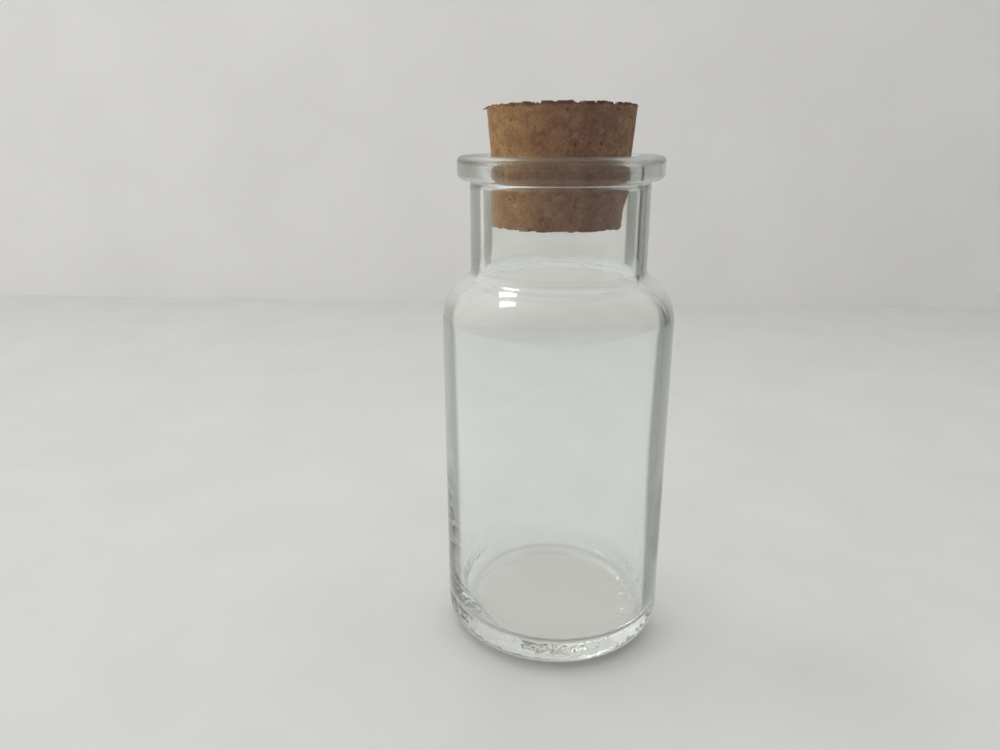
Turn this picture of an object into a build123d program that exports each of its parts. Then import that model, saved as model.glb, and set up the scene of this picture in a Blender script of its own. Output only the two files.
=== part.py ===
from build123d import *
from math import atan2, degrees, radians, sin, tan
import os

# Corked spice bottle: a moulded clear glass bottle and a tapered cork stopper.
# Millimetres, +Z up the axis, origin on the resting surface under the middle of the base.

# Mouth of the bottle, which the cork and the neck take their sizes from
mouth_diameter = 28.9  # bore of the mouth in the plane of the lip's top
seat_depth = 4.0  # how far the straight seat reaches below the lip's top
seat_edge_radius = 1.0  # rounding at the lower end of the seat
mouth_edge_radius = 2.4  # fire-polished inner edge of the lip

# Neck and lip
bore_relief = 1.45  # the neck's bore is this much wider than the mouth, on the radius
relief_drop = 2.2  # height over which the seat opens out to the neck's bore
relief_radius = 1.2
glass_wall = 2.8  # neck, shoulder and body alike
neck_height = 17.9  # from the end of the shoulder to the underside of the lip
lip_overhang = 2.6  # how far the lip stands out past the neck
lip_height = 4.8
lip_edge_radius = 1.3
lip_root_radius = 0.8  # fillet where the neck meets the underside of the lip

# Body and shoulder
body_diameter = 50.0
wall_height = 72.6  # from the resting surface to the start of the shoulder
shoulder_height = 11.4  # from the start of the shoulder to the start of the neck
neck_root_radius = 2.2  # hollow curve outside, where the shoulder turns into the neck

# Base
base_thickness = 4.2  # inner floor above the resting surface
heel_radius = 4.2
inner_heel_radius = 3.2
bearing_width = 6.0  # flat ring that the bottle stands on
push_up = 0.4  # rise of the hollow under the base, at its middle

# Moulded grooves across the bearing ring
groove_count = 48
groove_width = 1.1
groove_depth = 0.25
groove_inner_margin = 0.8  # flat left between the grooves and the hollow under the base

# Cork stopper
cork_taper = 5.0  # degrees, each side, above the lip; below it the mouth has squeezed the cork straight
cork_bend_radius = 8.0  # where the straight part turns into the taper
cork_clearance = 0.15  # on the radius, between the cork and its seat
cork_depth = 14.0  # below the lip's top
cork_rise = 10.1  # above the lip's top
cork_edge_radius = 0.5

# Heights of the bottle
neck_start = wall_height + shoulder_height
lip_underside = neck_start + neck_height
lip_top = lip_underside + lip_height
seat_bottom = lip_top - seat_depth
bore_top = seat_bottom - relief_drop

# Radii of the bottle
mouth_radius = mouth_diameter / 2
bore_radius = mouth_radius + bore_relief
neck_radius = bore_radius + glass_wall
lip_radius = neck_radius + lip_overhang
body_radius = body_diameter / 2
inside_radius = body_radius - glass_wall
bearing_outer_radius = body_radius - heel_radius
bearing_inner_radius = bearing_outer_radius - bearing_width

# The shoulder is two tangent arcs that turn in by one angle and back by the same angle,
# so its rise and its step from body to neck give the angle and the sum of the two radii.
# The inside turns about the same two centres, one wall further in.
shoulder_turn = 2 * atan2(body_radius - neck_radius, shoulder_height)
shoulder_radius = shoulder_height / sin(shoulder_turn) - neck_root_radius
bore_root_radius = neck_root_radius + glass_wall
inside_shoulder_radius = shoulder_radius - glass_wall

# Bottle: one turned section, then the ring of grooves under the base
with BuildPart() as glass_bottle:
    with BuildSketch(Plane.XZ) as bottle_section:
        with BuildLine() as bottle_outline:
            hollow = TangentArc((0, push_up), (bearing_inner_radius, 0), tangent=(1, 0))
            bearing = Line(hollow @ 1, (bearing_outer_radius, 0))
            heel = JernArc(bearing @ 1, bearing % 1, heel_radius, 90)
            wall = Line(heel @ 1, (body_radius, wall_height))
            shoulder = JernArc(wall @ 1, wall % 1, shoulder_radius, degrees(shoulder_turn))
            neck_root = JernArc(shoulder @ 1, shoulder % 1, neck_root_radius, -degrees(shoulder_turn))
            lip_and_mouth = FilletPolyline(
                neck_root @ 1,
                (neck_radius, lip_underside),
                (lip_radius, lip_underside),
                (lip_radius, lip_top),
                (mouth_radius, lip_top),
                (mouth_radius, seat_bottom),
                (bore_radius, bore_top),
                (bore_radius, neck_start),
                radius=[
                    lip_root_radius,
                    lip_edge_radius,
                    lip_edge_radius,
                    mouth_edge_radius,
                    seat_edge_radius,
                    relief_radius,
                ],
            )
            bore_root = JernArc((bore_radius, neck_start), (0, -1), bore_root_radius, degrees(shoulder_turn))
            inside_shoulder = JernArc(
                bore_root @ 1, bore_root % 1, inside_shoulder_radius, -degrees(shoulder_turn)
            )
            inside_wall = Line(inside_shoulder @ 1, (inside_radius, base_thickness + inner_heel_radius))
            inner_heel = JernArc(inside_wall @ 1, inside_wall % 1, inner_heel_radius, -90)
            floor = Line(inner_heel @ 1, (0, base_thickness))
            axis_line = Line(floor @ 1, hollow @ 0)
        make_face()
    revolve(axis=Axis.Z)
    groove_start = bearing_inner_radius + groove_inner_margin
    groove_length = body_radius - groove_start  # runs out through the rounding of the heel
    with BuildSketch(Plane.XY) as bearing_grooves:
        with PolarLocations(groove_start + groove_length / 2, groove_count):
            SlotOverall(groove_length, groove_width)
    extrude(amount=groove_depth, mode=Mode.SUBTRACT)
glass_bottle.part.label = "glass_bottle"

# Cork: a plug that fills the mouth, less its clearance, and widens above the lip
cork_radius = mouth_radius - cork_clearance
cork_bottom = lip_top - cork_depth
cork_top = lip_top + cork_rise
cork_top_radius = cork_radius + cork_rise * tan(radians(cork_taper))
with BuildPart() as cork_stopper:
    with BuildSketch(Plane.XZ) as cork_section:
        with BuildLine() as cork_outline:
            cork_side = FilletPolyline(
                (0, cork_bottom),
                (cork_radius, cork_bottom),
                (cork_radius, lip_top),
                (cork_top_radius, cork_top),
                (0, cork_top),
                radius=[cork_edge_radius, cork_bend_radius, cork_edge_radius],
            )
            cork_axis = Line(cork_side @ 1, cork_side @ 0)
        make_face()
    revolve(axis=Axis.Z)
cork_stopper.part.label = "cork_stopper"

os.makedirs("parts", exist_ok=True)
export_step(glass_bottle.part, "parts/glass_bottle.step")
export_step(cork_stopper.part, "parts/cork_stopper.step")
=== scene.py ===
import bpy
import math
from mathutils import Matrix, Vector


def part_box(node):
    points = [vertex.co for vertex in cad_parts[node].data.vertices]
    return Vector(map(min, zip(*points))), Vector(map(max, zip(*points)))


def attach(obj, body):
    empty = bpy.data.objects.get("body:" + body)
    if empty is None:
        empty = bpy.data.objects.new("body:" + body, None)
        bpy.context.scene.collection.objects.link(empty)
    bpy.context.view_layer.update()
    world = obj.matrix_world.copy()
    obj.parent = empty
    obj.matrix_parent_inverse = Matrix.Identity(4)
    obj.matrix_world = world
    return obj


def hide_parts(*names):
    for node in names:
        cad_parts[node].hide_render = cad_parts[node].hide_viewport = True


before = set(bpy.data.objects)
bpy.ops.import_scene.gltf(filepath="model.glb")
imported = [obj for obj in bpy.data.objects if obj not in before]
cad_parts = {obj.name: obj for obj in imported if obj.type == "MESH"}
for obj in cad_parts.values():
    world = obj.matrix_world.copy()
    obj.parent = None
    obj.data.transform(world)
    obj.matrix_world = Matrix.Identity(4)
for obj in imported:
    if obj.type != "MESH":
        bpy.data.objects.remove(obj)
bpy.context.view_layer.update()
scene = bpy.context.scene
mm = 0.001
print("frame: nodes", ", ".join(sorted(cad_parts)))


# node tree helpers, for shader and geometry trees alike

def feed(tree, socket, value):  # links a socket, or sets a plain value
    if isinstance(value, bpy.types.NodeSocket):
        tree.links.new(value, socket)
    else:
        socket.default_value = value


def feedAll(tree, sockets, values):
    for socket, value in zip(sockets, values):
        feed(tree, socket, value)


def addNode(tree, kind, inputs=None, **settings):
    made = tree.nodes.new(kind)
    for name, value in settings.items():
        setattr(made, name, value)
    for name, value in (inputs or {}).items():
        feed(tree, made.inputs[name], value)
    return made


def calc(tree, operation, *values):
    made = addNode(tree, "ShaderNodeMath", operation=operation)
    feedAll(tree, made.inputs, values)
    return made.outputs[0]


def times(tree, first, *others):
    for other in others:
        first = calc(tree, "MULTIPLY", first, other)
    return first


def plus(tree, first, *others):
    for other in others:
        first = calc(tree, "ADD", first, other)
    return first


def minus(tree, first, *others):
    for other in others:
        first = calc(tree, "SUBTRACT", first, other)
    return first


def vectorCalc(tree, operation, *values):
    made = addNode(tree, "ShaderNodeVectorMath", operation=operation)
    feedAll(tree, made.inputs, values)
    return made.outputs["Value" if operation in ("DOT_PRODUCT", "LENGTH") else "Vector"]


def scaled(tree, vector, factor):
    made = addNode(tree, "ShaderNodeVectorMath", {"Vector": vector, "Scale": factor}, operation="SCALE")
    return made.outputs["Vector"]


def splitVector(tree, vector):
    return addNode(tree, "ShaderNodeSeparateXYZ", {"Vector": vector}).outputs


def joinVector(tree, x, y, z):
    return addNode(tree, "ShaderNodeCombineXYZ", {"X": x, "Y": y, "Z": z}).outputs["Vector"]


def ramped(tree, value, fromLow, fromHigh, toLow=0.0, toHigh=1.0):  # smooth step between two values
    made = addNode(tree, "ShaderNodeMapRange", interpolation_type="SMOOTHSTEP")
    feedAll(tree, made.inputs, (value, fromLow, fromHigh, toLow, toHigh))
    return made.outputs["Result"]


def between(tree, value, rise, fall):  # full between two ramps
    return times(tree, ramped(tree, value, *rise), ramped(tree, value, *fall))


def noise(tree, place, scale, detail):  # gives a level and a colour
    return addNode(tree, "ShaderNodeTexNoise", {"Vector": place, "Scale": scale, "Detail": detail}).outputs


def sway(tree, place, scale, detail, reach):  # a small step to any side
    step = vectorCalc(tree, "SUBTRACT", noise(tree, place, scale, detail)["Color"], (0.5, 0.5, 0.5))
    return scaled(tree, step, reach)


def colourMix(tree, factor, first, second, blend="MIX"):
    made = addNode(tree, "ShaderNodeMix", data_type="RGBA", blend_type=blend)
    feedAll(tree, (made.inputs[0], made.inputs[6], made.inputs[7]), (factor, first, second))
    return made.outputs[2]


def newMaterial(name):  # a material with an empty tree
    material = bpy.data.materials.new(name)
    material.use_nodes = True
    tree = material.node_tree
    tree.nodes.clear()
    return material, tree, tree.nodes.new("ShaderNodeOutputMaterial").inputs


socketKinds = {int: "Int", float: "Float", tuple: "Vector", bpy.types.Material: "Material"}


def newTree(name, values):  # a geometry tree with a named input for each value
    tree = bpy.data.node_groups.new(name, "GeometryNodeTree")
    tree.interface.new_socket("Geometry", in_out="INPUT", socket_type="NodeSocketGeometry")
    tree.interface.new_socket("Geometry", in_out="OUTPUT", socket_type="NodeSocketGeometry")
    for label, value in values.items():
        kind = "NodeSocket" + socketKinds[type(value)]
        tree.interface.new_socket(label, in_out="INPUT", socket_type=kind)
    return tree, tree.nodes.new("NodeGroupInput").outputs, tree.nodes.new("NodeGroupOutput").inputs


def endTree(tree, geometry, material, out):  # the last nodes of every piece's tree
    smooth = addNode(tree, "GeometryNodeSetShadeSmooth", {"Geometry": geometry})
    real = addNode(tree, "GeometryNodeRealizeInstances", {"Geometry": smooth.outputs[0]})
    dressed = addNode(tree, "GeometryNodeSetMaterial", {"Geometry": real.outputs[0], "Material": material})
    feed(tree, out["Geometry"], dressed.outputs[0])


def makePiece(name, outline, tree, values):  # runs a tree on an outline and keeps a plain mesh
    host = bpy.data.objects.new(name + "Host", outline)
    scene.collection.objects.link(host)
    modifier = host.modifiers.new(tree.name, "NODES")
    modifier.node_group = tree
    for item in tree.interface.items_tree:
        if item.in_out == "INPUT" and item.name in values:
            modifier[item.identifier] = values[item.name]
    host.update_tag()
    evaluated = host.evaluated_get(bpy.context.evaluated_depsgraph_get())
    mesh = bpy.data.meshes.new_from_object(evaluated)
    bpy.data.objects.remove(host)
    mesh.name = name
    piece = bpy.data.objects.new(name, mesh)
    scene.collection.objects.link(piece)
    triangles = sum(len(face.vertices) - 2 for face in mesh.polygons)
    print(name + ":", len(mesh.vertices), "points,", triangles, "triangles")
    return piece


# outlines of turned pieces, as points (radius, height) in millimetres

def arcRun(centre, radius, startDeg, endDeg, steps):
    turns = [math.radians(startDeg + (endDeg - startDeg) * k / steps) for k in range(steps + 1)]
    return [(centre[0] + radius * math.cos(a), centre[1] + radius * math.sin(a)) for a in turns]


def roundedRun(corners, radii, steps):  # a run of straight lines with an arc at each inner corner
    points = [Vector(corners[0])]
    for before, here, after, radius in zip(corners, corners[1:], corners[2:], radii):
        here = Vector(here)
        inWay = (here - Vector(before)).normalized()
        outWay = (Vector(after) - here).normalized()
        turn = inWay.angle_signed(outWay)  # clockwise is positive here
        reach = radius * math.tan(abs(turn) / 2)
        side = Vector((inWay.y, -inWay.x)) * math.copysign(radius, turn)
        centre = here - inWay * reach + side
        for k in range(steps + 1):
            spoke = -side
            spoke.rotate(Matrix.Rotation(-turn * k / steps, 2))
            points.append(centre + spoke)
    points.append(Vector(corners[-1]))
    return [tuple(p) for p in points]


def joined(*runs):  # joins runs, leaving out doubled points
    points = []
    for run in runs:
        points += [p for p in run if not points or math.dist(p, points[-1]) > 1e-4]
    return points


def spread(points, longest):  # adds points so that no step is longer than longest(radius, height)
    full = [points[0]]
    for start, end in zip(points, points[1:]):
        middle = ((start[0] + end[0]) / 2, (start[1] + end[1]) / 2)
        count = max(1, math.ceil(math.dist(start, end) / longest(*middle)))
        full += [
            (start[0] + (end[0] - start[0]) * k / count, start[1] + (end[1] - start[1]) * k / count)
            for k in range(1, count + 1)
        ]
    return full


def sectionMesh(name, points, turnRadius, marks=None):  # an outline laid out for the turning tree
    mesh = bpy.data.meshes.new(name)
    places = [(r * mm - turnRadius, -z * mm, 0) for r, z in points]
    mesh.from_pydata(places, [(k, k + 1) for k in range(len(places) - 1)], [])
    if marks:
        layer = mesh.attributes.new("inside", "FLOAT", "POINT")
        layer.data.foreach_set("value", marks)
    return mesh


def turningTree():  # sweeps an outline round the axis and closes its poles
    tree, given, out = newTree("turnedSolid", {"Turn Radius": 0.0, "Segments": 0})
    line = addNode(tree, "GeometryNodeMeshToCurve", {"Mesh": given["Geometry"]})
    circle = addNode(tree, "GeometryNodeCurvePrimitiveCircle", {
        "Resolution": given["Segments"],
        "Radius": given["Turn Radius"],
    })
    swept = addNode(tree, "GeometryNodeCurveToMesh", {
        "Curve": circle.outputs[0],
        "Profile Curve": line.outputs[0],
    })
    closed = addNode(tree, "GeometryNodeMergeByDistance", {"Geometry": swept.outputs[0], "Distance": 1e-6})
    feed(tree, out["Geometry"], closed.outputs[0])
    return tree


turnedSolid = turningTree()


def turned(tree, given):  # the turning tree as one node of a piece's tree
    made = addNode(tree, "GeometryNodeGroup", node_tree=turnedSolid)
    for name in ("Geometry", "Turn Radius", "Segments"):
        feed(tree, made.inputs[name], given[name])
    return made.outputs[0]


def surfaceFields(tree):  # place, its parts, distance from the axis, and normal
    place = tree.nodes.new("GeometryNodeInputPosition").outputs[0]
    normal = tree.nodes.new("GeometryNodeInputNormal").outputs[0]
    x, y, z = splitVector(tree, place)
    radius = vectorCalc(tree, "LENGTH", joinVector(tree, x, y, 0.0))
    return place, x, y, z, radius, normal


# moulded glass bottle

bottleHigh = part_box("glass_bottle")[1]
bottle = {
    "outline": {  # millimetres
        "bodyRadius": bottleHigh[0] / mm,
        "lipTop": bottleHigh[2] / mm,
        "wall": 2.8,
        "wallHeight": 72.6,
        "shoulderHeight": 11.4,
        "neckRoot": 2.2,
        "neckRadius": 18.7,
        "lipRadius": 21.3,
        "lipHeight": 4.8,
        "lipEdge": 1.3,
        "lipRoot": 0.8,
        "mouthRadius": 14.45,
        "mouthEdge": 2.4,
        "seatDepth": 4.0,
        "seatEdge": 1.0,
        "reliefDrop": 2.2,
        "reliefEdge": 1.2,
        "baseThickness": 4.2,
        "heel": 4.2,
        "innerHeel": 3.2,
        "bearingWidth": 6.0,
        "pushUp": 0.4,
        "arcSteps": 9,
        "longestStep": 3.0,
        "groovedStep": 0.45,
    },
    "moulding": {  # inputs of the bottle's tree, in metres
        "Turn Radius": 20.0 * mm,
        "Segments": 384,
        "Wave Height": 0.14 * mm,
        "Wave Size": 17 * mm,
        "Skin Height": 0.05 * mm,
        "Wall Thinning": 0.55 * mm,
        "Thin Side": math.radians(135),
        "Base Shift": 0.7 * mm,
        "Base Narrowing": 0.024,
        "Wrinkle Scale": 420.0,
        "Wrinkle Depth": 0.09 * mm,
        "Knurl Count": 48,
        "Knurl Depth": 0.12 * mm,
        "Knurl Inner": 16.8 * mm,
        "Knurl Outer": 22.6 * mm,
        "Knurl Scale": 260.0,
    },
    "zones": {  # where each mark sets in and where it is full, in metres
        "belowSeat": (94 * mm, 86 * mm),
        "skinFoot": (2 * mm, 8 * mm),
        "thinWall": ((8 * mm, 45 * mm), (84 * mm, 72 * mm)),
        "thinNeck": ((85 * mm, 89 * mm), (100 * mm, 96 * mm)),
        "well": (12 * mm, 5 * mm),
        "wrinkles": ((5.5 * mm, 3.0 * mm), (0.2 * mm, 1.0 * mm)),
        "underside": (1.2 * mm, 0.4 * mm),
        "knurlEnds": (0.6 * mm, 1.2 * mm),
        "knurlSide": (4 * mm, 18 * mm),
        "knurlFront": (12 * mm, 2 * mm),
    },
    "shares": {  # pairs and fours are the ends of ramps
        "drawn": (1.0, 1.0, 0.6),  # the waves are longer along the axis
        "thinSwing": 0.7,
        "thinMean": 1.7,
        "knurlCut": (-0.25, 0.55),
        "knurlUneven": (0.2, 0.7, 0.45, 1.0),
        "knurlSide": (0.2, 0.8),
        "knurlFront": (0.15, 1.0),
        "upright": (0.75, 0.2, 0.2, 1.0),
    },
    "finish": {  # lengths in metres; pairs of shares are for the left and the right
        "sides": (-12 * mm, 12 * mm),
        "heelHeight": (9 * mm, 4 * mm),
        "heelGirth": (20.5 * mm, 22.5 * mm),
        "heelFront": (4 * mm, -12 * mm),
        "baseHeight": (6 * mm, 5 * mm),
        "baseGirth": (20.5 * mm, 18.5 * mm),
        "lipHeight": (100.5 * mm, 102.5 * mm),
        "neckHeight": (84 * mm, 88 * mm),
        "lowHeight": (55 * mm, 8 * mm),
        "leftHeight": (72 * mm, 86 * mm),
        "footHeight": (4 * mm, 12 * mm),
        "rippleScale": 150.0,
        "crinkleScale": 560.0,
        "crinkleHeight": 10.0,
        "bumpStrength": 0.12,
        "bumpHeight": 0.2 * mm,
        "smearScale": 90.0,
        "smearBand": (0.5, 0.8),
        "smearRoughness": 0.03,
        "rimHeight": (104.6 * mm, 106.0 * mm),
        "rimRoughness": 0.3,
        "ior": 1.52,
        "clearColour": (0.988, 1.0, 0.988, 1),
        # painted shade colour for the glass's aslant edges
        "edgeShadeColour": (0.20, 0.225, 0.19, 1),
        "edgeShadeStart": (0.54, 0.48),  # how far a wall is turned aslant where its painted edge shade begins
        "edgeShadeBlend": 0.5,
        "edgeShadeWidth": 0.07,
        "edgeShadeLeft": 0.86,
        "neckEarlier": (0.04, 0.0),
        "lowLater": (0.04, 0.09),
        "lipEarlier": 0.26,
        "lipWider": 0.15,
        "lipThinner": (0.15, 0.28),
        "lipLeast": 0.2,
        "passColour": (0.998, 1.0, 0.998, 1),
        "passBlend": 0.35,
        "passEdge": (0.90, 0.91, 0.90, 1),
        "passHeel": (0.42, 0.42, 0.40, 1),
        "passBase": (0.972, 0.944, 0.948, 1),
        "heelBack": 0.25,
        "depthColour": (0.90, 1.0, 0.91, 1),
        "depthDensity": 5.0,
    },
}


def bottleSection(b):
    steps = b["arcSteps"]
    lipTop = b["lipTop"]
    neckStart = b["wallHeight"] + b["shoulderHeight"]
    insideRadius = b["bodyRadius"] - b["wall"]
    boreRadius = b["neckRadius"] - b["wall"]
    bearingInner = b["bodyRadius"] - b["heel"] - b["bearingWidth"]
    seatBottom = lipTop - b["seatDepth"]

    def shoulderRun(wide, narrow, rootRadius):  # two tangent arcs from the wall in to the neck
        turn = 2 * math.atan2(wide - narrow, b["shoulderHeight"])
        radius = b["shoulderHeight"] / math.sin(turn) - rootRadius
        crown = arcRun((wide - radius, b["wallHeight"]), radius, 0, math.degrees(turn), 2 * steps)
        root = arcRun((narrow + rootRadius, neckStart), rootRadius, 180 + math.degrees(turn), 180, steps)
        return joined(crown, root)

    def longest(radius, height):  # close steps where the grooves under the base need them
        return b["groovedStep"] if height < 0.01 and radius > bearingInner else b["longestStep"]

    hollow = []
    for k in range(2 * steps + 1):
        share = k / (2 * steps)
        hollow.append((bearingInner * share, b["pushUp"] * (1 + math.cos(math.pi * share)) / 2))
    foot = roundedRun(
        [(bearingInner, 0), (b["bodyRadius"], 0), (b["bodyRadius"], b["wallHeight"])],
        [b["heel"]],
        2 * steps,
    )
    lip = roundedRun(
        [
            (b["neckRadius"], neckStart),
            (b["neckRadius"], lipTop - b["lipHeight"]),
            (b["lipRadius"], lipTop - b["lipHeight"]),
            (b["lipRadius"], lipTop),
            (b["mouthRadius"], lipTop),
            (b["mouthRadius"], seatBottom),
            (boreRadius, seatBottom - b["reliefDrop"]),
            (boreRadius, neckStart),
        ],
        [b["lipRoot"], b["lipEdge"], b["lipEdge"], b["mouthEdge"], b["seatEdge"], b["reliefEdge"]],
        steps,
    )
    well = roundedRun(
        [(insideRadius, b["wallHeight"]), (insideRadius, b["baseThickness"]), (0, b["baseThickness"])],
        [b["innerHeel"]],
        steps,
    )
    shoulder = shoulderRun(b["bodyRadius"], b["neckRadius"], b["neckRoot"])
    insideShoulder = shoulderRun(insideRadius, boreRadius, b["neckRoot"] + b["wall"])[::-1]
    outside = spread(joined(hollow, foot, shoulder, lip), longest)
    inside = spread(joined(insideShoulder, well), longest)
    points = outside + inside[1:]
    marks = [0.0] * len(outside) + [1.0] * (len(inside) - 1)
    return points[::-1], marks[::-1]


def glassTree(values, zones, shares):
    tree, given, out = newTree("mouldedGlass", values)
    shape = turned(tree, given)
    place, x, y, z, radius, normal = surfaceFields(tree)
    angle = calc(tree, "ARCTAN2", y, x)
    mark = addNode(tree, "GeometryNodeInputNamedAttribute", {"Name": "inside"}, data_type="FLOAT")
    inside = mark.outputs[0]
    outside = minus(tree, 1.0, inside)
    # slow waves in the blown inner wall, fainter ones in the moulded skin
    drawn = vectorCalc(tree, "MULTIPLY", place, shares["drawn"])
    wave = noise(tree, drawn, calc(tree, "DIVIDE", 1.0, given["Wave Size"]), 1.0)[0]
    belowSeat = times(tree, inside, ramped(tree, z, *zones["belowSeat"]))  # the cork's seat stays true
    inner = times(tree, minus(tree, wave, 0.5), given["Wave Height"], 2.0, belowSeat)
    outer = times(tree, wave, given["Skin Height"], -1.0, outside, ramped(tree, z, *zones["skinFoot"]))
    offset = scaled(tree, normal, plus(tree, inner, outer))
    # the inner wall is thinner towards the shoulder, in the neck and on one side
    side = calc(tree, "COSINE", minus(tree, angle, given["Thin Side"]))
    side = plus(tree, times(tree, side, shares["thinSwing"]), shares["thinMean"])
    thin = plus(tree, between(tree, z, *zones["thinWall"]), between(tree, z, *zones["thinNeck"]))
    thin = times(tree, thin, side, given["Wall Thinning"], inside)
    flat = joinVector(tree, x, y, 0.0)
    offset = vectorCalc(tree, "ADD", offset, scaled(tree, vectorCalc(tree, "NORMALIZE", flat), thin))
    # the well above the base is narrower and stands to one side
    inWell = times(tree, ramped(tree, z, *zones["well"]), inside)
    shift = joinVector(tree, times(tree, inWell, given["Base Shift"]), 0.0, 0.0)
    offset = vectorCalc(tree, "ADD", offset, shift)
    narrowed = scaled(tree, flat, times(tree, inWell, given["Base Narrowing"]))
    offset = vectorCalc(tree, "SUBTRACT", offset, narrowed)
    # the heel cooled first and is wrinkled
    onHeel = times(tree, between(tree, z, *zones["wrinkles"]), outside)
    wrinkle = noise(tree, place, given["Wrinkle Scale"], 1.0)[0]
    wrinkle = times(tree, wrinkle, onHeel, given["Wrinkle Depth"])
    offset = vectorCalc(tree, "SUBTRACT", offset, scaled(tree, normal, wrinkle))
    # grooves across the bearing ring, each cut a little differently and worn on one side
    ridge = calc(tree, "COSINE", times(tree, angle, given["Knurl Count"]))
    ringStart, ringEnd = zones["knurlEnds"]
    ring = times(
        tree,
        ramped(tree, radius, minus(tree, given["Knurl Inner"], ringStart), given["Knurl Inner"]),
        ramped(tree, radius, plus(tree, given["Knurl Outer"], ringEnd), given["Knurl Outer"]),
    )
    under = times(tree, ramped(tree, z, *zones["underside"]), outside)
    uneven = noise(tree, place, given["Knurl Scale"], 0.0)[0]
    depth = times(
        tree,
        given["Knurl Depth"],
        ramped(tree, uneven, *shares["knurlUneven"]),
        ramped(tree, x, *zones["knurlSide"], *shares["knurlSide"]),
        ramped(tree, y, *zones["knurlFront"], *shares["knurlFront"]),
    )
    lift = times(tree, ramped(tree, ridge, *shares["knurlCut"]), ring, times(tree, under, depth))
    offset = vectorCalc(tree, "ADD", offset, joinVector(tree, 0.0, 0.0, lift))
    moved = addNode(tree, "GeometryNodeSetPosition", {"Geometry": shape, "Offset": offset})
    # the painted edge shade of the glass is laid on upright outer walls only
    lean = calc(tree, "ABSOLUTE", splitVector(tree, normal)[2])
    upright = times(tree, ramped(tree, lean, *shares["upright"]), outside)
    marked = addNode(
        tree,
        "GeometryNodeStoreNamedAttribute",
        {"Geometry": moved.outputs[0], "Name": "upright", "Value": upright},
        data_type="FLOAT",
        domain="POINT",
    )
    endTree(tree, marked.outputs[0], given["Material"], out)
    return tree


def glassMaterial(f):
    material, tree, out = newMaterial("clearGlass")
    place = tree.nodes.new("ShaderNodeTexCoord").outputs["Object"]
    x, y, z = splitVector(tree, place)
    girth = vectorCalc(tree, "LENGTH", joinVector(tree, x, y, 0.0))
    upright = addNode(tree, "ShaderNodeAttribute", attribute_name="upright").outputs["Fac"]
    onHeel = times(tree, ramped(tree, z, *f["heelHeight"]), ramped(tree, girth, *f["heelGirth"]))
    onNeck = ramped(tree, z, *f["neckHeight"])
    onLip = ramped(tree, z, *f["lipHeight"])

    def bySide(left, right):
        return ramped(tree, x, *f["sides"], left, right)

    # ripples all over and crinkles on the heel
    ripple = noise(tree, place, f["rippleScale"], 1.0)[0]
    crinkle = noise(tree, place, f["crinkleScale"], 0.8)[0]
    height = plus(tree, ripple, times(tree, crinkle, times(tree, onHeel, f["crinkleHeight"])))
    bump = addNode(tree, "ShaderNodeBump", {
        "Strength": f["bumpStrength"],
        "Distance": f["bumpHeight"],
        "Height": height,
    })
    # painted shade: the glass's colour darkens where walls turn aslant, set differently on the left and the
    # right, for the darker edges of the glass
    slant = addNode(tree, "ShaderNodeLayerWeight", {"Blend": f["edgeShadeBlend"]}).outputs["Facing"]
    start = minus(tree, bySide(*f["edgeShadeStart"]), times(tree, onLip, f["lipEarlier"]))
    start = minus(tree, start, times(tree, onNeck, bySide(*f["neckEarlier"])))
    start = plus(tree, start, ramped(tree, z, *f["lowHeight"], 0.0, bySide(*f["lowLater"])))
    width = plus(tree, f["edgeShadeWidth"], times(tree, onLip, f["lipWider"]))
    edgeShade = ramped(tree, slant, start, plus(tree, start, width))
    dense = bySide(ramped(tree, z, *f["leftHeight"], f["edgeShadeLeft"], 1.0), 1.0)
    edgeShade = times(tree, edgeShade, upright, dense, ramped(tree, z, *f["footHeight"]))
    edgeShade = times(tree, edgeShade, minus(tree, 1.0, times(tree, onLip, bySide(*f["lipThinner"]))))
    edgeShade = calc(tree, "MAXIMUM", edgeShade, times(tree, onLip, upright, f["lipLeast"]))
    # faint smears, and a dull rim round the lip
    smear = noise(tree, place, f["smearScale"], 4.0)[0]
    smear = ramped(tree, smear, *f["smearBand"], 0.0, f["smearRoughness"])
    dull = ramped(tree, z, *f["rimHeight"], 0.0, f["rimRoughness"])
    glass = addNode(tree, "ShaderNodeBsdfPrincipled", {
        # the base colour carries the painted edge shade
        "Base Color": colourMix(tree, edgeShade, f["clearColour"], f["edgeShadeColour"]),
        "IOR": f["ior"],
        "Transmission Weight": 1.0,
        "Roughness": calc(tree, "MAXIMUM", smear, dull),
        "Normal": bump.outputs[0],
    })
    # light passes on to what the glass holds, less at its edges and base, and the heel throws it aside
    edge = addNode(tree, "ShaderNodeLayerWeight", {"Blend": f["passBlend"]}).outputs["Facing"]
    thrown = times(tree, onHeel, ramped(tree, y, *f["heelFront"], f["heelBack"], 1.0))
    tint = colourMix(tree, thrown, colourMix(tree, edge, f["passColour"], f["passEdge"]), f["passHeel"])
    onBase = times(tree, ramped(tree, z, *f["baseHeight"]), ramped(tree, girth, *f["baseGirth"]))
    tint = colourMix(tree, onBase, tint, f["passBase"])
    clear = addNode(tree, "ShaderNodeBsdfTransparent", {"Color": tint})
    path = tree.nodes.new("ShaderNodeLightPath").outputs
    passing = calc(tree, "MAXIMUM", path["Is Shadow Ray"], path["Is Diffuse Ray"])
    mix = addNode(tree, "ShaderNodeMixShader")
    feedAll(tree, mix.inputs, (passing, glass.outputs[0], clear.outputs[0]))
    depth = addNode(tree, "ShaderNodeVolumeAbsorption", {
        "Color": f["depthColour"],
        "Density": f["depthDensity"],
    })
    feed(tree, out["Surface"], mix.outputs[0])
    feed(tree, out["Volume"], depth.outputs[0])
    return material


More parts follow.
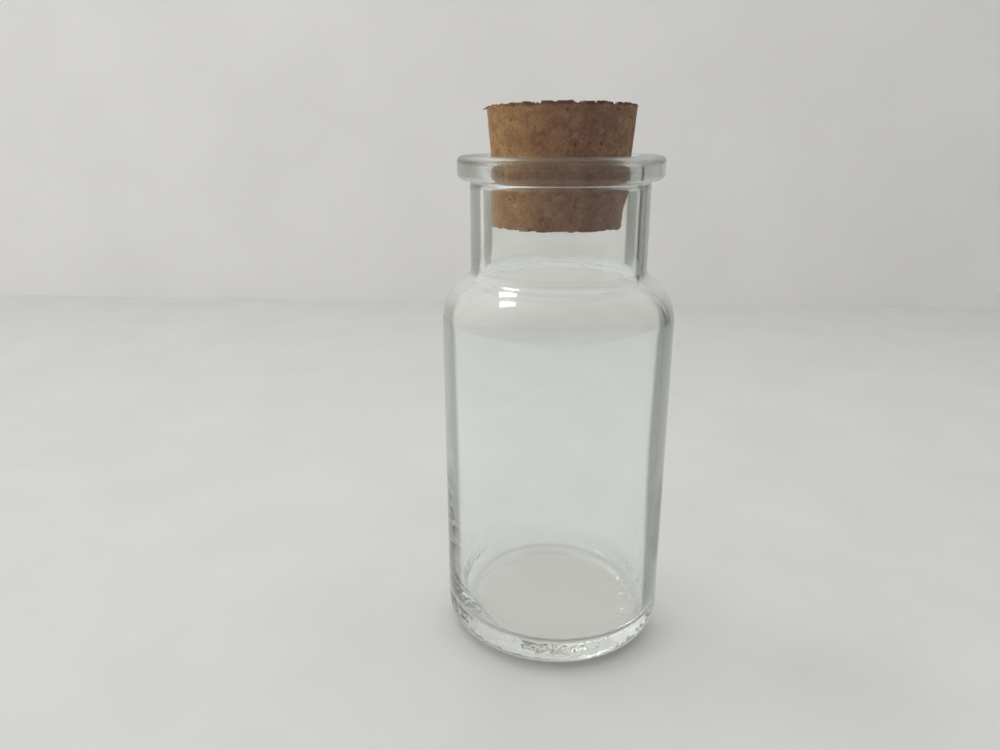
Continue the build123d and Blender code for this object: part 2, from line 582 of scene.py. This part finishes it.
def makeBottle(b):
    points, marks = bottleSection(b["outline"])
    outline = sectionMesh("bottleOutline", points, b["moulding"]["Turn Radius"], marks)
    values = {**b["moulding"], "Material": glassMaterial(b["finish"])}
    tree = glassTree(values, b["zones"], b["shares"])
    return makePiece("glassBottle", outline, tree, values)


glassBottle = makeBottle(bottle)


# agglomerated cork stopper

corkLow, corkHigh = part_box("cork_stopper")
cork = {
    "outline": {  # millimetres
        "bottom": corkLow[2] / mm,
        "lip": bottleHigh[2] / mm,
        "top": corkHigh[2] / mm,
        "radius": 14.3,
        "taper": 5.0,  # degrees, above the lip
        "bend": 8.0,
        "edge": 0.35,
        "arcSteps": 4,
        "longestStep": 0.32,
        "rimStep": 0.16,
        "rimReach": 2.0,
    },
    "grain": {  # inputs of the cork's tree, in metres
        "Turn Radius": 15.0 * mm,
        "Segments": 400,
        "Bottom": corkLow[2],
        "Lip": bottleHigh[2],
        "Top": corkHigh[2],
        "Top Radius": (corkHigh[0] - corkLow[0]) / 2,
        "Granule Size": 1.25 * mm,
        "Granule Height": 0.05 * mm,
        "Crevice Depth": 0.07 * mm,
        "Pit Spacing": 1.5 * mm,
        "Pit Depth": 0.2 * mm,
        "Rim Chip": 0.6 * mm,
        "Chip Scale": 560.0,
        "Top Sag": 0.6 * mm,
        "Top Dish": 0.7 * mm,
        "Dish Scale": 260.0,
        "Worn Corner": (14.3 * mm, -2.0 * mm, 93.2 * mm),
        "Worn Way": (-0.80, 0.10, 0.60),
        "Worn Reach": 8.0 * mm,
        "Worn Depth": 2.5 * mm,
        "Crumb Ring": 13.88 * mm,
        "Crumb Places": 90,
        "Crumb Share": 0.3,
        "Crumb Size": 0.3 * mm,
        "Crumb Seed": 5,
        "Splinter Place": (-15.0 * mm, -1.5 * mm, 115.75 * mm),
        "Splinter Turn": (0.0, math.radians(-112), 0.0),
        "Splinter Tip": 0.04 * mm,
        "Splinter Width": 0.3 * mm,
        "Splinter Length": 0.9 * mm,
    },
    "wobble": {"scale": 620.0, "detail": 2.0, "reach": 1.8 * mm},  # bends the granules' outlines
    "ragged": {"scale": 900.0, "detail": 1.0, "reach": 1.2 * mm},  # breaks up the chips' outlines
    "chipZone": (3.2 * mm, 2.0 * mm),  # distances from the side, in metres
    "dishZone": (0.4 * mm, 2.2 * mm),
    "shares": {  # pairs and fours are the ends of ramps
        "seam": (0.10, 0.0),
        "pitReach": (0.2, 1.0, 0.04, 0.32),  # many pits are too small to see
        "pitCore": 0.45,
        "wornCore": 0.15,
        "wornTone": (0.0, 1.0, 0.7, 1.0),
        "smallChips": (0.0, 0.7, 0.0, 0.28),
        "bigChips": (0.66, 0.95, 0.0, 0.72),
        "lowerChips": 1.1,
        "topLean": 0.2,
        "dishUneven": (0.3, 0.7, 0.6, 1.0),
        "crumbRise": 2.0,
        "crumbClear": 1.1,
        "crumbScale": (0.5, 1.3),
        "splinterScale": (0.7, 1.3, 1.0),
    },
    "finish": {
        "tones": (
            (0.0, (0.235, 0.134, 0.070, 1)),
            (0.18, (0.275, 0.158, 0.082, 1)),
            (0.55, (0.305, 0.178, 0.093, 1)),
            (0.88, (0.33, 0.196, 0.103, 1)),
            (1.0, (0.38, 0.236, 0.126, 1)),
        ),
        "fineScale": 2600.0,
        "fineBand": (0.2, 0.8),
        "fineDark": (0.82, 0.80, 0.76),
        "fineBright": 1.16,
        "cloud": {"scale": 420.0, "detail": 3.0, "band": (0.45, 0.75), "most": 0.45},
        "cloudColour": (0.20, 0.108, 0.064, 1),
        "blotch": {"scale": 170.0, "detail": 1.0, "band": (0.45, 0.65), "most": 0.35},
        "blotchColour": (0.235, 0.122, 0.072, 1),
        "gold": {"scale": 300.0, "detail": 2.0, "band": (0.48, 0.70), "most": 0.4},
        "goldColour": (0.40, 0.25, 0.115, 1),
        "crackMost": 0.14,
        "crackColour": (0.14, 0.07, 0.036, 1),
        "pitMost": 0.7,
        "pitColour": (0.11, 0.055, 0.03, 1),
        "rimDrop": (1.1 * mm, 0.5 * mm),
        "rimRagged": 1.2 * mm,
        "rimShadeMost": 0.85,
        # painted shade colour for the chipped upper rim
        "rimShadeColour": (0.11, 0.062, 0.042, 1),
        "fleckScale": 1050.0,
        "fleckReach": (0.4, 1.0, 0.0, 0.42),
        "fleckCore": 0.2,
        "fleckMost": 0.6,
        "fleckColour": (0.105, 0.056, 0.032, 1),
        # painted light and shade across the cork, from the lit left to the shaded right
        "litToShadedSides": (-8 * mm, 12 * mm),
        "litToShadedRagged": 4 * mm,
        "litSideTint": (1.05, 1.04, 0.95, 1),
        "shadedSideTint": (0.99, 1.03, 1.26, 1),
        # painted shade across the middle of the cork
        "middleShadeSides": ((-10 * mm, -1 * mm), (14 * mm, 5 * mm)),
        "middleShadeTint": (0.89, 0.83, 0.94, 1),
        "roughness": (0.95, 0.78),
        "specular": 0.25,
        "bumpStrength": 0.3,
        "bumpHeight": 0.2 * mm,
    },
}


def corkSection(c):
    topRadius = c["radius"] + (c["top"] - c["lip"]) * math.tan(math.radians(c["taper"]))
    points = roundedRun(
        [
            (0, c["bottom"]),
            (c["radius"], c["bottom"]),
            (c["radius"], c["lip"]),
            (topRadius, c["top"]),
            (0, c["top"]),
        ],
        [c["edge"], c["bend"], c["edge"]],
        c["arcSteps"],
    )

    def longest(radius, height):  # close steps along both rims
        toRim = min(math.dist((radius, height), rim) for rim in (points[3], points[-3]))
        return c["rimStep"] if toRim < c["rimReach"] else c["longestStep"]

    return spread(points, longest)[::-1]


def granules(tree, place, size, pitSpacing, c):  # the same grain for the shape and for its colour
    shares = c["shares"]
    bent = vectorCalc(tree, "ADD", place, sway(tree, place, **c["wobble"]))
    scale = calc(tree, "DIVIDE", 1.0, size)
    cell = addNode(tree, "ShaderNodeTexVoronoi", {"Vector": bent, "Scale": scale})
    seam = addNode(tree, "ShaderNodeTexVoronoi", {"Vector": bent, "Scale": scale}, feature="DISTANCE_TO_EDGE")
    pitScale = calc(tree, "DIVIDE", 1.0, pitSpacing)
    pits = addNode(tree, "ShaderNodeTexVoronoi", {"Vector": bent, "Scale": pitScale})
    tone = splitVector(tree, cell.outputs["Color"])[0]
    chance = splitVector(tree, pits.outputs["Color"])[0]
    reach = ramped(tree, chance, *shares["pitReach"])
    pit = ramped(tree, pits.outputs["Distance"], reach, times(tree, reach, shares["pitCore"]))
    crack = ramped(tree, seam.outputs["Distance"], *shares["seam"])
    return tone, crack, pit


def corkTree(values, c):
    shares = c["shares"]
    tree, given, out = newTree("agglomeratedCork", values)
    shape = turned(tree, given)
    place, x, y, z, radius, normal = surfaceFields(tree)
    fromSide = minus(tree, given["Top Radius"], radius)
    tone, crack, pit = granules(tree, place, given["Granule Size"], given["Pit Spacing"], c)
    relief = minus(
        tree,
        times(tree, minus(tree, tone, 1.0), given["Granule Height"]),
        times(tree, crack, given["Crevice Depth"]),
        times(tree, pit, given["Pit Depth"]),
    )
    # one lower corner is rubbed away
    apart = vectorCalc(tree, "LENGTH", vectorCalc(tree, "SUBTRACT", place, given["Worn Corner"]))
    worn = ramped(tree, apart, given["Worn Reach"], times(tree, given["Worn Reach"], shares["wornCore"]))
    worn = times(tree, worn, ramped(tree, tone, *shares["wornTone"]), given["Worn Depth"])
    # granules broken out of both rims: the ends are ragged levels that nothing stands past
    rim = joinVector(tree, x, y, calc(tree, "GREATER_THAN", z, given["Lip"]))
    loose = vectorCalc(tree, "ADD", rim, sway(tree, place, **c["ragged"]))
    chips = addNode(tree, "ShaderNodeTexVoronoi", {"Vector": loose, "Scale": given["Chip Scale"]})
    luck = splitVector(tree, chips.outputs["Color"])[1]
    bite = plus(tree, ramped(tree, luck, *shares["smallChips"]), ramped(tree, luck, *shares["bigChips"]))
    bite = times(tree, given["Rim Chip"], times(tree, bite, ramped(tree, fromSide, *c["chipZone"])))
    # the top is sawn a little round, leans over and is crumbled away inside its rim
    across = calc(tree, "DIVIDE", x, given["Top Radius"])
    sag = minus(tree, calc(tree, "POWER", across, 2.0), times(tree, across, shares["topLean"]))
    sag = times(tree, calc(tree, "MAXIMUM", sag, 0.0), given["Top Sag"])
    uneven = noise(tree, place, given["Dish Scale"], 2.0)[0]
    dish = times(tree, given["Top Dish"], ramped(tree, uneven, *shares["dishUneven"]))
    dish = times(tree, dish, ramped(tree, fromSide, *c["dishZone"]))
    ceiling = minus(tree, given["Top"], plus(tree, sag, dish, bite))
    ground = plus(tree, given["Bottom"], times(tree, bite, shares["lowerChips"]))
    level = calc(tree, "MAXIMUM", calc(tree, "MINIMUM", z, ceiling), ground)
    levelled = joinVector(tree, 0.0, 0.0, minus(tree, level, z))
    offset = vectorCalc(tree, "ADD", scaled(tree, normal, relief), levelled)
    offset = vectorCalc(tree, "ADD", offset, scaled(tree, given["Worn Way"], worn))
    moved = addNode(tree, "GeometryNodeSetPosition", {"Geometry": shape, "Offset": offset})
    # loose granules along the lower rim, but none where it is worn
    ring = addNode(tree, "GeometryNodeMeshCircle", {
        "Vertices": given["Crumb Places"],
        "Radius": given["Crumb Ring"],
    })
    low = plus(tree, given["Bottom"], times(tree, given["Crumb Size"], shares["crumbRise"]))
    raised = addNode(tree, "GeometryNodeSetPosition", {
        "Geometry": ring.outputs[0],
        "Offset": joinVector(tree, 0.0, 0.0, low),
    })
    kept = addNode(tree, "FunctionNodeRandomValue", {"Seed": given["Crumb Seed"]}, data_type="BOOLEAN")
    feed(tree, kept.inputs["Probability"], given["Crumb Share"])
    unworn = calc(tree, "GREATER_THAN", apart, times(tree, given["Worn Reach"], shares["crumbClear"]))
    scale = addNode(tree, "FunctionNodeRandomValue", {"Seed": given["Crumb Seed"]}, data_type="FLOAT")
    feedAll(tree, (scale.inputs[2], scale.inputs[3]), shares["crumbScale"])  # least and most
    crumb = addNode(tree, "GeometryNodeMeshIcoSphere", {"Radius": given["Crumb Size"], "Subdivisions": 2})
    crumbs = addNode(tree, "GeometryNodeInstanceOnPoints", {
        "Points": raised.outputs[0],
        "Selection": times(tree, kept.outputs[3], unworn),
        "Instance": crumb.outputs[0],
        "Scale": scale.outputs[1],
    })
    # one splinter at the upper rim
    spike = addNode(tree, "GeometryNodeMeshCone", {
        "Vertices": 7,
        "Side Segments": 3,
        "Radius Top": given["Splinter Tip"],
        "Radius Bottom": given["Splinter Width"],
        "Depth": given["Splinter Length"],
    })
    splinter = addNode(tree, "GeometryNodeTransform", {
        "Geometry": spike.outputs[0],
        "Translation": given["Splinter Place"],
        "Rotation": given["Splinter Turn"],
        "Scale": shares["splinterScale"],
    })
    whole = addNode(tree, "GeometryNodeJoinGeometry")
    for part in (moved, crumbs, splinter):
        feed(tree, whole.inputs[0], part.outputs[0])
    endTree(tree, whole.outputs[0], given["Material"], out)
    return tree


def corkMaterial(c):
    f = c["finish"]
    material, tree, out = newMaterial("agglomeratedCork")
    place = tree.nodes.new("ShaderNodeTexCoord").outputs["Object"]
    x, y, z = splitVector(tree, place)
    sizes = c["grain"]
    tone, crack, pit = granules(tree, place, sizes["Granule Size"], sizes["Pit Spacing"], c)

    def cloudLevel(patch):
        return noise(tree, place, patch["scale"], patch["detail"])[0]

    def stained(colour, level, patch, stain):
        return colourMix(tree, ramped(tree, level, *patch["band"], 0.0, patch["most"]), colour, stain)

    tones = addNode(tree, "ShaderNodeValToRGB", {"Fac": tone})
    stops = tones.color_ramp.elements
    stops.remove(stops[1])
    stops[0].color = f["tones"][0][1]
    for position, shade in f["tones"][1:]:
        stops.new(position).color = shade
    fine = noise(tree, place, f["fineScale"], 3.0)[0]
    speckle = addNode(tree, "ShaderNodeCombineColor")
    for socket, dark in zip(speckle.inputs, f["fineDark"]):
        feed(tree, socket, ramped(tree, fine, *f["fineBand"], dark, f["fineBright"]))
    colour = colourMix(tree, 1.0, tones.outputs[0], speckle.outputs[0], "MULTIPLY")
    # darker clouds, crevices and pits, and painted shade along the upper rim
    cloud = cloudLevel(f["cloud"])
    colour = stained(colour, cloud, f["cloud"], f["cloudColour"])
    colour = colourMix(tree, times(tree, crack, f["crackMost"]), colour, f["crackColour"])
    colour = colourMix(tree, times(tree, pit, f["pitMost"]), colour, f["pitColour"])
    # painted shade: the chipped upper rim is darkened towards the top
    ragged = plus(tree, z, times(tree, minus(tree, cloud, 0.5), f["rimRagged"]))
    rimLow, rimHigh = (sizes["Top"] - drop for drop in f["rimDrop"])
    paintedRimShade = ramped(tree, ragged, rimLow, rimHigh, 0.0, f["rimShadeMost"])
    colour = colourMix(tree, paintedRimShade, colour, f["rimShadeColour"])
    # dark flecks, broad blotches and golden granules
    flecks = addNode(tree, "ShaderNodeTexVoronoi", {"Vector": place, "Scale": f["fleckScale"]})
    chance = splitVector(tree, flecks.outputs["Color"])[1]
    reach = ramped(tree, chance, *f["fleckReach"])
    core = times(tree, reach, f["fleckCore"])
    fleck = ramped(tree, flecks.outputs["Distance"], reach, core, 0.0, f["fleckMost"])
    colour = colourMix(tree, fleck, colour, f["fleckColour"])
    colour = stained(colour, cloudLevel(f["blotch"]), f["blotch"], f["blotchColour"])
    colour = stained(colour, cloudLevel(f["gold"]), f["gold"], f["goldColour"])
    # painted light and shade: warmer and lighter on the left side, greyer on the shaded right, and darker and
    # redder across the middle
    shadedSide = ramped(tree, plus(tree, x, times(tree, cloud, f["litToShadedRagged"])), *f["litToShadedSides"])
    colour = colourMix(tree, 1.0, colour, colourMix(tree, shadedSide, f["litSideTint"], f["shadedSideTint"]), "MULTIPLY")
    # painted shade: the middle band is darker and redder
    middleShaded = colourMix(tree, 1.0, colour, f["middleShadeTint"], "MULTIPLY")
    colour = colourMix(tree, between(tree, x, *f["middleShadeSides"]), colour, middleShaded)
    bump = addNode(tree, "ShaderNodeBump", {
        "Strength": f["bumpStrength"],
        "Distance": f["bumpHeight"],
        "Height": fine,
    })
    surface = addNode(tree, "ShaderNodeBsdfPrincipled", {
        "Base Color": colour,
        "Roughness": ramped(tree, fine, *f["fineBand"], *f["roughness"]),
        "Specular IOR Level": f["specular"],
        "Normal": bump.outputs[0],
    })
    feed(tree, out["Surface"], surface.outputs[0])
    return material


def makeCork(c):
    outline = sectionMesh("corkOutline", corkSection(c["outline"]), c["grain"]["Turn Radius"])
    values = {**c["grain"], "Material": corkMaterial(c)}
    return makePiece("corkStopper", outline, corkTree(values, c), values)


corkStopper = makeCork(cork)

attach(glassBottle, "bottle")
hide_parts("glass_bottle")
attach(corkStopper, "stopper")
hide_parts("cork_stopper")


# pale floor and backdrop

stage = {  # metres
    "floorHeight": -0.00008,
    "reach": 1.2,
    "nearFront": -0.3,  # the floor past these two doesn't mirror in the glass
    "nearLeft": -0.45,
    "farFront": -0.55,
    "farLeft": -0.72,
    "boards": ((-1.2, 0.32), (0.40, 1.0)),  # two boards, whose gap draws a dark line in the glass
    "wallDistance": 0.342,
    "wallHeight": 0.7,
    "floorColour": (0.56, 0.562, 0.555, 1),
    "floorMottle": 30.0,
    "boardColour": (0.92, 0.91, 0.88, 1),
    "boardMottle": 12.0,
    "mottleShade": (0.96, 0.96, 0.96, 1),
    "mottleBand": (0.3, 0.7),
    "roughness": 0.55,
}


def mottleGroup(shade, band):  # faint clouds in a pale colour
    group = bpy.data.node_groups.new("softMottle", "ShaderNodeTree")
    for label, kind in (("Place", "Vector"), ("Pale", "Color"), ("Scale", "Float")):
        group.interface.new_socket(label, in_out="INPUT", socket_type="NodeSocket" + kind)
    group.interface.new_socket("Mottled", in_out="OUTPUT", socket_type="NodeSocketColor")
    given = group.nodes.new("NodeGroupInput").outputs
    out = group.nodes.new("NodeGroupOutput").inputs
    cloud = noise(group, given["Place"], given["Scale"], 5.0)[0]
    dark = colourMix(group, 1.0, given["Pale"], shade, "MULTIPLY")
    feed(group, out["Mottled"], colourMix(group, ramped(group, cloud, *band), dark, given["Pale"]))
    return group


softMottle = mottleGroup(stage["mottleShade"], stage["mottleBand"])


def paleMaterial(name, colour, scale):
    material, tree, out = newMaterial(name)
    place = tree.nodes.new("ShaderNodeTexCoord").outputs["Object"]
    mottle = addNode(tree, "ShaderNodeGroup", node_tree=softMottle)
    feedAll(tree, mottle.inputs, (place, colour, scale))
    surface = addNode(tree, "ShaderNodeBsdfPrincipled", {
        "Base Color": mottle.outputs["Mottled"],
        "Roughness": stage["roughness"],
    })
    feed(tree, out["Surface"], surface.outputs[0])
    return material


def makeSheet(name, quads, material):  # flat quads, each given by its four corners
    mesh = bpy.data.meshes.new(name)
    mesh.from_pydata(sum(quads, []), [], [tuple(range(4 * k, 4 * k + 4)) for k in range(len(quads))])
    mesh.materials.append(material)
    sheet = bpy.data.objects.new(name, mesh)
    scene.collection.objects.link(sheet)
    return sheet


def makeStage(s):
    right = s["reach"]
    wall = s["wallDistance"]
    low = s["floorHeight"]
    top = s["wallHeight"]

    def flat(left, right, front, back):
        return [(left, front, low), (right, front, low), (right, back, low), (left, back, low)]

    def board(left, right):
        return [(left, wall, low), (right, wall, low), (right, wall, top), (left, wall, top)]

    pale = paleMaterial("paleFloor", s["floorColour"], s["floorMottle"])
    makeSheet("floor", [flat(s["nearLeft"], right, s["nearFront"], wall)], pale)
    far = [
        flat(s["farLeft"], right, s["farFront"], s["nearFront"]),
        flat(s["farLeft"], s["nearLeft"], s["nearFront"], wall),
    ]
    makeSheet("farFloor", far, pale).visible_glossy = False
    backdrop = paleMaterial("paleBackdrop", s["boardColour"], s["boardMottle"])
    makeSheet("backdrop", [board(*ends) for ends in s["boards"]], backdrop)


makeStage(stage)


# light and camera

room = {
    "brightSide": (-0.45, 0.55, 0.70),
    "brightBand": (0.15, 0.98),
    "levels": (0.19, 1.1),
    "colour": (1.0, 1.0, 0.985, 1),
}
lamps = {  # only a seen lamp shows in the glass
    "softLamp": {"way": (0.16, 0.20, 0.96), "distance": 0.8, "size": 0.9, "power": 4.2, "seen": False},
    "windowLamp": {"way": (-0.95, -0.12, 0.30), "distance": 1.4, "size": 1.2, "power": 6.0, "seen": False},
    "fillLamp": {"way": (-0.75, -0.40, 0.53), "distance": 1.3, "size": 1.0, "power": 3.0, "seen": False},
    "sparkLamp": {"way": (-0.46, 0.195, 0.866), "distance": 0.8, "size": 0.17, "power": 0.8, "seen": True},
}
lampTarget = (0.0, 0.0, 0.06)
camera = {  # found from the outline of the object in the photograph
    "place": (0.0, -0.16058, 0.11139),  # metres
    "pitch": 18.007,  # degrees down
    "yaw": -4.48,  # degrees to the right
    "roll": -0.155,
    "focalShare": 0.751,  # focal length over image width
    "sensor": 36.0,
    "clipStart": 0.005,
}


def makeWorld(r):
    world = bpy.data.worlds.new("softRoom")
    world.use_nodes = True
    tree = world.node_tree
    tree.nodes.clear()
    way = vectorCalc(tree, "NORMALIZE", tree.nodes.new("ShaderNodeTexCoord").outputs["Generated"])
    towards = vectorCalc(tree, "DOT_PRODUCT", way, Vector(r["brightSide"]).normalized())
    level = ramped(tree, towards, *r["brightBand"], *r["levels"])
    back = addNode(tree, "ShaderNodeBackground", {"Color": r["colour"], "Strength": level})
    out = tree.nodes.new("ShaderNodeOutputWorld")
    feed(tree, out.inputs["Surface"], back.outputs[0])
    scene.world = world


def makeLamp(name, settings):
    data = bpy.data.lights.new(name, "AREA")
    data.shape = "SQUARE"
    data.size = settings["size"]
    data.energy = settings["power"]
    lamp = bpy.data.objects.new(name, data)
    way = Vector(settings["way"]).normalized()
    lamp.location = Vector(lampTarget) + way * settings["distance"]
    lamp.rotation_euler = way.to_track_quat("Z", "Y").to_euler()
    lamp.visible_glossy = settings["seen"]
    lamp.visible_transmission = settings["seen"]
    scene.collection.objects.link(lamp)


def makeCamera(c):
    data = bpy.data.cameras.new("camera")
    data.sensor_width = c["sensor"]
    data.lens = c["focalShare"] * data.sensor_width
    data.clip_start = c["clipStart"]
    pitch, yaw, roll = (math.radians(c[k]) for k in ("pitch", "yaw", "roll"))
    ahead = Vector((math.sin(yaw) * math.cos(pitch), math.cos(yaw) * math.cos(pitch), -math.sin(pitch)))
    right = Vector((math.cos(yaw), -math.sin(yaw), 0))
    up = right.cross(ahead)
    rolledRight = right * math.cos(roll) + up * math.sin(roll)
    rolledUp = up * math.cos(roll) - right * math.sin(roll)
    turn = Matrix((rolledRight, rolledUp, -ahead)).transposed().to_4x4()
    eye = bpy.data.objects.new("camera", data)
    eye.matrix_world = Matrix.Translation(c["place"]) @ turn
    scene.collection.objects.link(eye)
    scene.camera = eye


makeWorld(room)
for lampName, lampSettings in lamps.items():
    makeLamp(lampName, lampSettings)
makeCamera(camera)
scene.view_settings.view_transform = "Standard"
scene.cycles.max_bounces = 40
scene.cycles.transmission_bounces = 40
scene.cycles.glossy_bounces = 40
scene.cycles.transparent_max_bounces = 32
scene.cycles.caustics_refractive = False
scene.cycles.caustics_reflective = False
print("stage, light and camera ready")
